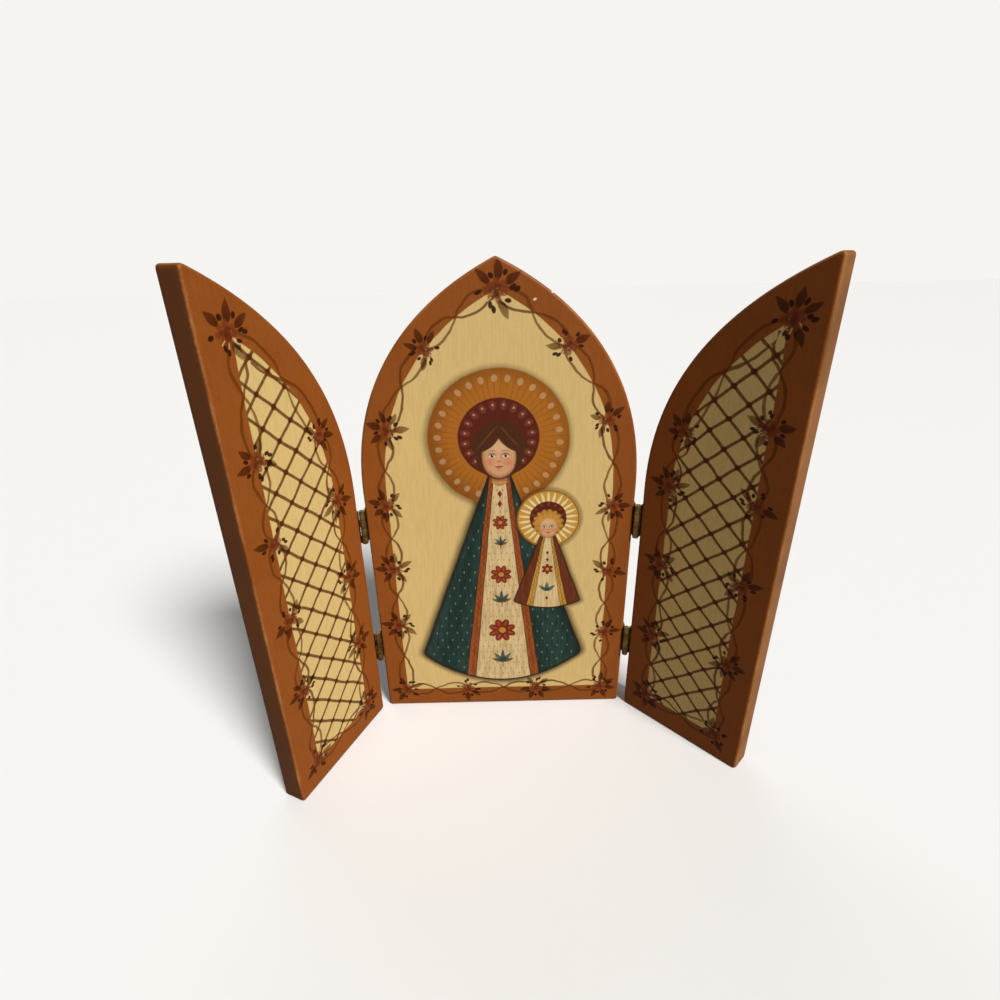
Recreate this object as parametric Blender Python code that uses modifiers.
# Folding altar: a pointed centre panel and two half-arch wings on small brass butt hinges.
# Metres, +Z up. The origin is the middle of the centre panel's underside. The painted fronts
# face -Y, and the wings stand part open, so that the altar stands by itself.

import math

import bmesh
import bpy
from mathutils import Matrix, Vector

MM = 0.001

# Boards
PANEL_WIDTH = 150.0 * MM
PANEL_HEIGHT = 269.4 * MM
SPRINGING_HEIGHT = 142.1 * MM
BOARD_THICKNESS = 12.7 * MM
CORNER_RADIUS = 2.0 * MM
EDGE_ROUNDING = 1.3 * MM
MEETING_GAP = 0.3 * MM

# Arch: one Bezier curve a side, upright at its foot and sloping down from its point
ARCH_FOOT_PULL = 18.4 * MM
ARCH_POINT_PULL = 89.2 * MM
ARCH_POINT_SLOPE = math.radians(25.3)
ARCH_STEPS = 16

# How far each wing is turned towards the viewer, from lying flat beside the centre panel
LEFT_OPENING = math.radians(65.55)
RIGHT_OPENING = math.radians(46.46)

# Hinges
HINGE_LENGTH = 20.0 * MM
UPPER_HINGE_HEIGHT = 131.5 * MM
LOWER_HINGE_HEIGHT = 49.0 * MM
KNUCKLE_RADIUS = 1.7 * MM
KNUCKLES_IN_HINGE = 4
KNUCKLE_GAP = 0.3 * MM
KNUCKLE_SIDES = 20
LEAF_THICKNESS = 0.8 * MM
LEAF_REACH = 8.0 * MM
LEAF_END_INSET = 0.2 * MM
LEAF_CORNER_RADIUS = 1.0 * MM
PIN_RADIUS = 0.7 * MM
PIN_CLEARANCE = 0.1 * MM
PIN_STAND_OUT = 0.4 * MM
PIN_END_ROUNDING = 0.2 * MM
PIN_IN_FRONT = 1.2 * MM

# Screws
SCREW_LENGTH = 8.0 * MM
SCREW_TIP_LENGTH = 2.0 * MM
SCREW_HEAD_RADIUS = 1.5 * MM
SCREW_HEAD_RIM = 0.12 * MM
SCREW_SHANK_RADIUS = 0.75 * MM
SCREW_SLOT_WIDTH = 0.4 * MM
SCREW_SLOT_DEPTH = 0.3 * MM
SCREW_SINK = 0.05 * MM
SCREW_SPACING = 11.0 * MM
SCREW_SIDES = 12

# Clearances
SEAT_GAP = 0.3 * MM
SCREW_CLEARANCE = 0.2 * MM
OVERSHOOT = 1.0 * MM
WELD_DISTANCE = 0.01 * MM

# Sizes that follow from the ones above
WING_WIDTH = (PANEL_WIDTH - MEETING_GAP) / 2
PIN_TO_EDGE = KNUCKLE_RADIUS
PIN_X = PANEL_WIDTH / 2 + PIN_TO_EDGE
PIN_Y = -(BOARD_THICKNESS / 2 + PIN_IN_FRONT)
KNUCKLE_LENGTH = (HINGE_LENGTH - (KNUCKLES_IN_HINGE - 1) * KNUCKLE_GAP) / KNUCKLES_IN_HINGE
LEAF_BACK = -(PIN_TO_EDGE - SEAT_GAP)
LEAF_FACE = LEAF_BACK + LEAF_THICKNESS
SCREW_DEPTH_IN_EDGE = PIN_IN_FRONT + LEAF_REACH / 2 + KNUCKLE_RADIUS / 2

SIDES = {"left": -1, "right": 1}
HINGE_HEIGHTS = {"upper": UPPER_HINGE_HEIGHT, "lower": LOWER_HINGE_HEIGHT}
OPENINGS = {"left": LEFT_OPENING, "right": -RIGHT_OPENING}


def clear_scene():
    for item in list(bpy.data.objects):
        bpy.data.objects.remove(item, do_unlink=True)


def new_collection(name):
    collection = bpy.data.collections.new(name)
    bpy.context.scene.collection.children.link(collection)
    return collection


def new_material(name, colour, roughness, metallic):
    material = bpy.data.materials.new(name)
    material.use_nodes = True
    shader = material.node_tree.nodes["Principled BSDF"]
    shader.inputs["Base Color"].default_value = (*colour, 1.0)
    shader.inputs["Roughness"].default_value = roughness
    shader.inputs["Metallic"].default_value = metallic
    material.diffuse_color = (*colour, 1.0)
    return material


def place(name, mesh, material, collection, matrix=Matrix(), parent=None):
    # Each piece gets its own material, set on the object so that copies can share a mesh
    piece = bpy.data.objects.new(name, mesh)
    collection.objects.link(piece)
    piece.parent = parent
    piece.matrix_local = matrix
    if not mesh.materials:
        mesh.materials.append(None)
    slot = piece.material_slots[0]
    slot.link = "OBJECT"
    slot.material = material
    return piece


def mesh_from(shape, name):
    mesh = bpy.data.meshes.new(name)
    shape.to_mesh(mesh)
    shape.free()
    mesh.shade_smooth()
    mesh.set_sharp_from_angle(angle=math.radians(30))
    return mesh


def finished_mesh(piece, name):
    # The mesh of a helper object with its modifiers done; the helper goes
    bpy.context.view_layer.update()
    graph = bpy.context.evaluated_depsgraph_get()
    mesh = bpy.data.meshes.new_from_object(piece.evaluated_get(graph), depsgraph=graph)
    mesh.name = name
    bpy.data.objects.remove(piece, do_unlink=True)
    return mesh


def cut_or_join(piece, tool, operation):
    boolean = piece.modifiers.new(tool.name, "BOOLEAN")
    boolean.operation = operation
    boolean.solver = "EXACT"
    boolean.object = tool


def hide_tool(tool):
    tool.hide_render = True
    tool.display_type = "WIRE"


def add_cylinder(shape, radius, low, high, sides, matrix=Matrix()):
    centre = Matrix.Translation((0, 0, (low + high) / 2))
    return bmesh.ops.create_cone(
        shape, cap_ends=True, segments=sides, radius1=radius, radius2=radius,
        depth=high - low, matrix=matrix @ centre)["verts"]


# Boards

def arch_corner(foot, point):
    # Handles of the curve from the arch's foot to its point
    inward = math.copysign(1.0, foot.x - point.x)
    slope = Vector((inward * math.cos(ARCH_POINT_SLOPE), -math.sin(ARCH_POINT_SLOPE)))
    return foot + Vector((0, ARCH_FOOT_PULL)), point + ARCH_POINT_PULL * slope


def centre_outline():
    # Each corner with its curve handles before and after it, going round from bottom left
    half = PANEL_WIDTH / 2
    point = Vector((0, PANEL_HEIGHT))
    right_foot = Vector((half, SPRINGING_HEIGHT))
    left_foot = Vector((-half, SPRINGING_HEIGHT))
    right_handle, point_right = arch_corner(right_foot, point)
    left_handle, point_left = arch_corner(left_foot, point)
    return [
        (Vector((-half, 0)), None, None),
        (Vector((half, 0)), None, None),
        (right_foot, None, right_handle),
        (point, point_right, point_left),
        (left_foot, left_handle, None),
    ]


def wing_outline(side):
    # The hinge edge is at x = 0, and the free edge, under the arch's point, is at WING_WIDTH
    point = Vector((side * WING_WIDTH, PANEL_HEIGHT))
    foot = Vector((0, SPRINGING_HEIGHT))
    foot_handle, point_handle = arch_corner(foot, point)
    return [
        (Vector((0, 0)), None, None),
        (Vector((side * WING_WIDTH, 0)), None, None),
        (point, None, point_handle),
        (foot, foot_handle, None),
    ]


def board_blank(name, outline):
    curve = bpy.data.curves.new(name, "CURVE")
    curve.dimensions = "2D"
    curve.fill_mode = "BOTH"
    curve.extrude = BOARD_THICKNESS / 2
    curve.resolution_u = ARCH_STEPS
    spline = curve.splines.new("BEZIER")
    spline.bezier_points.add(len(outline) - 1)
    spline.use_cyclic_u = True
    for knot, (corner, before, after) in zip(spline.bezier_points, outline):
        knot.handle_left_type = "FREE" if before else "VECTOR"
        knot.handle_right_type = "FREE" if after else "VECTOR"
        knot.co = (*corner, 0)
        knot.handle_left = (*(before or corner), 0)
        knot.handle_right = (*(after or corner), 0)
    blank = bpy.data.objects.new(name, curve)
    bpy.context.scene.collection.objects.link(blank)
    mesh = finished_mesh(blank, name)
    bpy.data.curves.remove(curve)
    return mesh


def merge_flat_faces(shape, way):
    faces = [face for face in shape.faces if face.normal.dot(way) > 0.99]
    bmesh.ops.dissolve_faces(shape, faces=faces)


def round_corners(shape):
    # The outline's corners are the sharp edges that run through the board's thickness
    corners = [
        edge for edge in shape.edges
        if abs(edge.verts[0].co.z - edge.verts[1].co.z) > BOARD_THICKNESS / 2
        and edge.calc_face_angle() > math.radians(30)
    ]
    for edge in corners:
        tangent_length = CORNER_RADIUS * math.tan(edge.calc_face_angle() / 2)
        bmesh.ops.bevel(
            shape, geom=[edge], offset=tangent_length, offset_type="OFFSET", segments=3,
            profile=0.5, affect="EDGES")


def board_mesh(name, outline):
    sawn = board_blank(name, outline)
    shape = bmesh.new()
    shape.from_mesh(sawn)
    bpy.data.meshes.remove(sawn)
    bmesh.ops.remove_doubles(shape, verts=shape.verts, dist=WELD_DISTANCE)
    bmesh.ops.recalc_face_normals(shape, faces=shape.faces)
    merge_flat_faces(shape, Vector((0, 0, 1)))
    merge_flat_faces(shape, Vector((0, 0, -1)))
    round_corners(shape)
    upright = Matrix.Rotation(math.radians(90), 3, "X")
    bmesh.ops.rotate(shape, cent=(0, 0, 0), matrix=upright, verts=shape.verts)
    return mesh_from(shape, name)


def finish_board(board, pilot_holes):
    edges = board.modifiers.new("rounded_edges", "BEVEL")
    edges.width = EDGE_ROUNDING
    edges.segments = 2
    edges.limit_method = "ANGLE"
    edges.angle_limit = math.radians(60)
    cut_or_join(board, pilot_holes, "DIFFERENCE")


# Hinges. A leaf's own frame has the pin along Z with Z = 0 at mid-length, and the leaf's
# plate runs along +Y beside the board's edge. Turned over, the same leaf fits the other board.

def leaf_matrix(side, on_wing, height):
    turned_over = (side < 0) != on_wing
    foot = Vector((0, 0, height)) if on_wing else Vector((side * PIN_X, PIN_Y, height))
    turn = Matrix.Rotation(math.pi if turned_over else 0.0, 4, "Y")
    return Matrix.Translation(foot) @ turn


def knuckle_span(index):
    low = -HINGE_LENGTH / 2 + index * (KNUCKLE_LENGTH + KNUCKLE_GAP)
    return low, low + KNUCKLE_LENGTH


def screw_matrices():
    # The screw's own Z points out of its head, which lies just below the leaf's face
    face_out = Matrix.Rotation(math.radians(90), 4, "Y")
    head_x = LEAF_FACE - SCREW_SINK
    heights = (-SCREW_SPACING / 2, SCREW_SPACING / 2)
    return [Matrix.Translation((head_x, SCREW_DEPTH_IN_EDGE, z)) @ face_out for z in heights]


def leaf_plate():
    half_length = HINGE_LENGTH / 2 - LEAF_END_INSET
    reach = PIN_IN_FRONT + LEAF_REACH
    size = Vector((LEAF_THICKNESS, reach, 2 * half_length))
    middle = Vector((LEAF_BACK + LEAF_THICKNESS / 2, reach / 2, 0))
    shape = bmesh.new()
    frame = Matrix.Translation(middle) @ Matrix.Diagonal((*size, 1))
    bmesh.ops.create_cube(shape, size=1, matrix=frame)
    far_corners = [
        edge for edge in shape.edges
        if abs(edge.verts[0].co.x - edge.verts[1].co.x) > LEAF_THICKNESS / 2
        and edge.verts[0].co.y > reach / 2
    ]
    bmesh.ops.bevel(
        shape, geom=far_corners, offset=LEAF_CORNER_RADIUS, offset_type="OFFSET", segments=3,
        profile=0.5, affect="EDGES")
    return mesh_from(shape, "leaf_plate")


def leaf_knuckles():
    shape = bmesh.new()
    for index in range(0, KNUCKLES_IN_HINGE, 2):
        add_cylinder(shape, KNUCKLE_RADIUS, *knuckle_span(index), KNUCKLE_SIDES)
    return mesh_from(shape, "leaf_knuckles")


def leaf_notches():
    # Room in the plate for the other leaf's knuckles, a little longer than they are
    shape = bmesh.new()
    for index in range(1, KNUCKLES_IN_HINGE, 2):
        low, high = knuckle_span(index)
        end_room = KNUCKLE_GAP + LEAF_END_INSET
        add_cylinder(
            shape, KNUCKLE_RADIUS + KNUCKLE_GAP, low - end_room, high + end_room, KNUCKLE_SIDES)
    return mesh_from(shape, "leaf_notches")


def leaf_bore():
    shape = bmesh.new()
    half_length = HINGE_LENGTH / 2 + OVERSHOOT
    add_cylinder(shape, PIN_RADIUS + PIN_CLEARANCE, -half_length, half_length, KNUCKLE_SIDES)
    return mesh_from(shape, "leaf_bore")


def turned(name, profile, collection):
    # Radius and height pairs from top to bottom, turned about Z
    shape = bmesh.new()
    rings = [shape.verts.new((radius, 0, height)) for radius, height in profile]
    for upper, lower in zip(rings, rings[1:]):
        shape.edges.new((upper, lower))
    helper = bpy.data.objects.new(name, mesh_from(shape, name))
    collection.objects.link(helper)
    screw = helper.modifiers.new("turn", "SCREW")
    screw.steps = SCREW_SIDES
    screw.render_steps = SCREW_SIDES
    screw.use_merge_vertices = True
    screw.merge_threshold = WELD_DISTANCE
    screw.use_smooth_shade = True
    return helper


def screw_profile(clearance, top, length):
    head = SCREW_HEAD_RADIUS + clearance
    shank = SCREW_SHANK_RADIUS + clearance
    cone_end = -SCREW_HEAD_RIM - (head - shank)
    return [
        (0, top), (head, top), (head, -SCREW_HEAD_RIM), (shank, cone_end),
        (shank, -length + SCREW_TIP_LENGTH), (0, -length),
    ]


def screw_mesh(tools):
    screw = turned("screw", screw_profile(0, 0, SCREW_LENGTH), tools)
    slot_shape = bmesh.new()
    slot_size = (SCREW_SLOT_WIDTH, 3 * SCREW_HEAD_RADIUS, 2 * SCREW_SLOT_DEPTH, 1)
    bmesh.ops.create_cube(slot_shape, size=1, matrix=Matrix.Diagonal(slot_size))
    slot = bpy.data.objects.new("screw_slot", mesh_from(slot_shape, "screw_slot"))
    tools.objects.link(slot)
    hide_tool(slot)
    cut_or_join(screw, slot, "DIFFERENCE")
    return finished_mesh(screw, "screw")


def countersink(tools):
    depth = SCREW_LENGTH + OVERSHOOT
    return turned("countersink", screw_profile(SCREW_CLEARANCE, OVERSHOOT, depth), tools)


def leaf_mesh(tools):
    leaf = bpy.data.objects.new("leaf", leaf_plate())
    tools.objects.link(leaf)
    steps = (
        (leaf_notches(), "DIFFERENCE"), (leaf_knuckles(), "UNION"), (leaf_bore(), "DIFFERENCE"))
    for mesh, operation in steps:
        tool = bpy.data.objects.new(mesh.name, mesh)
        tools.objects.link(tool)
        hide_tool(tool)
        cut_or_join(leaf, tool, operation)
    sink_mesh = finished_mesh(countersink(tools), "countersink")
    for number, matrix in enumerate(screw_matrices(), 1):
        tool = bpy.data.objects.new(f"countersink_{number}", sink_mesh)
        tools.objects.link(tool)
        tool.matrix_world = matrix
        hide_tool(tool)
        cut_or_join(leaf, tool, "DIFFERENCE")
    return finished_mesh(leaf, "leaf")


def pin_mesh():
    shape = bmesh.new()
    half_length = HINGE_LENGTH / 2 + PIN_STAND_OUT
    add_cylinder(shape, PIN_RADIUS, -half_length, half_length, KNUCKLE_SIDES)
    rims = [
        edge for edge in shape.edges
        if abs(edge.verts[0].co.z - edge.verts[1].co.z) < PIN_END_ROUNDING
    ]
    bmesh.ops.bevel(
        shape, geom=rims, offset=PIN_END_ROUNDING, offset_type="OFFSET", segments=1,
        profile=0.5, affect="EDGES")
    return mesh_from(shape, "pin")


def pilot_holes(name, leaf_matrices, tools, parent=None):
    # One cutter for a board: a plain hole along each screw's axis, a little wider and deeper
    shape = bmesh.new()
    for leaf in leaf_matrices:
        for screw in screw_matrices():
            add_cylinder(
                shape, SCREW_SHANK_RADIUS + SCREW_CLEARANCE, -SCREW_LENGTH - SCREW_CLEARANCE,
                0, SCREW_SIDES, leaf @ screw)
    tool = bpy.data.objects.new(name, mesh_from(shape, name))
    tools.objects.link(tool)
    tool.parent = parent
    hide_tool(tool)
    return tool


def build():
    clear_scene()
    altar = new_collection("folding_altar")
    tools = new_collection("cutters")

    paint = (0.40, 0.13, 0.035)
    brass = (0.50, 0.38, 0.15)

    # Each wing hangs from an empty on its hinge line, turned by the wing's opening
    wing_axes = {}
    for side_name, side in SIDES.items():
        axis = bpy.data.objects.new(f"{side_name}_hinge_line", None)
        altar.objects.link(axis)
        axis.location = (side * PIN_X, PIN_Y, 0)
        axis.rotation_euler.z = OPENINGS[side_name]
        wing_axes[side_name] = axis
    bpy.context.view_layer.update()

    centre_leaves = [
        leaf_matrix(side, False, height)
        for side in SIDES.values() for height in HINGE_HEIGHTS.values()
    ]
    centre = place(
        "centre_panel", board_mesh("centre_panel", centre_outline()),
        new_material("centre_panel_paint", paint, 0.5, 0.0), altar)
    finish_board(centre, pilot_holes("centre_pilot_holes", centre_leaves, tools))

    for side_name, side in SIDES.items():
        axis = wing_axes[side_name]
        wing_leaves = [leaf_matrix(side, True, height) for height in HINGE_HEIGHTS.values()]
        hinge_edge = Matrix.Translation((side * PIN_TO_EDGE, -PIN_Y, 0))
        name = f"{side_name}_wing"
        wing = place(
            name, board_mesh(name, wing_outline(side)),
            new_material(f"{name}_paint", paint, 0.5, 0.0), altar, hinge_edge, axis)
        finish_board(wing, pilot_holes(f"{name}_pilot_holes", wing_leaves, tools, axis))

    leaf = leaf_mesh(tools)
    screw = screw_mesh(tools)
    pin = pin_mesh()
    for side_name, side in SIDES.items():
        for height_name, height in HINGE_HEIGHTS.items():
            hinge = f"{side_name}_{height_name}_hinge"
            pin_matrix = Matrix.Translation((side * PIN_X, PIN_Y, height))
            place(f"{hinge}_pin", pin, new_material(f"{hinge}_pin_brass", brass, 0.35, 1.0),
                  altar, pin_matrix)
            for board_name, on_wing in (("centre", False), ("wing", True)):
                leaf_name = f"{hinge}_{board_name}_leaf"
                matrix = leaf_matrix(side, on_wing, height)
                parent = wing_axes[side_name] if on_wing else None
                place(leaf_name, leaf, new_material(f"{leaf_name}_brass", brass, 0.4, 1.0),
                      altar, matrix, parent)
                for number, screw_place in enumerate(screw_matrices(), 1):
                    screw_name = f"{leaf_name}_screw_{number}"
                    place(screw_name, screw, new_material(f"{screw_name}_brass", brass, 0.35, 1.0),
                          altar, matrix @ screw_place, parent)
    bpy.context.view_layer.update()


build()
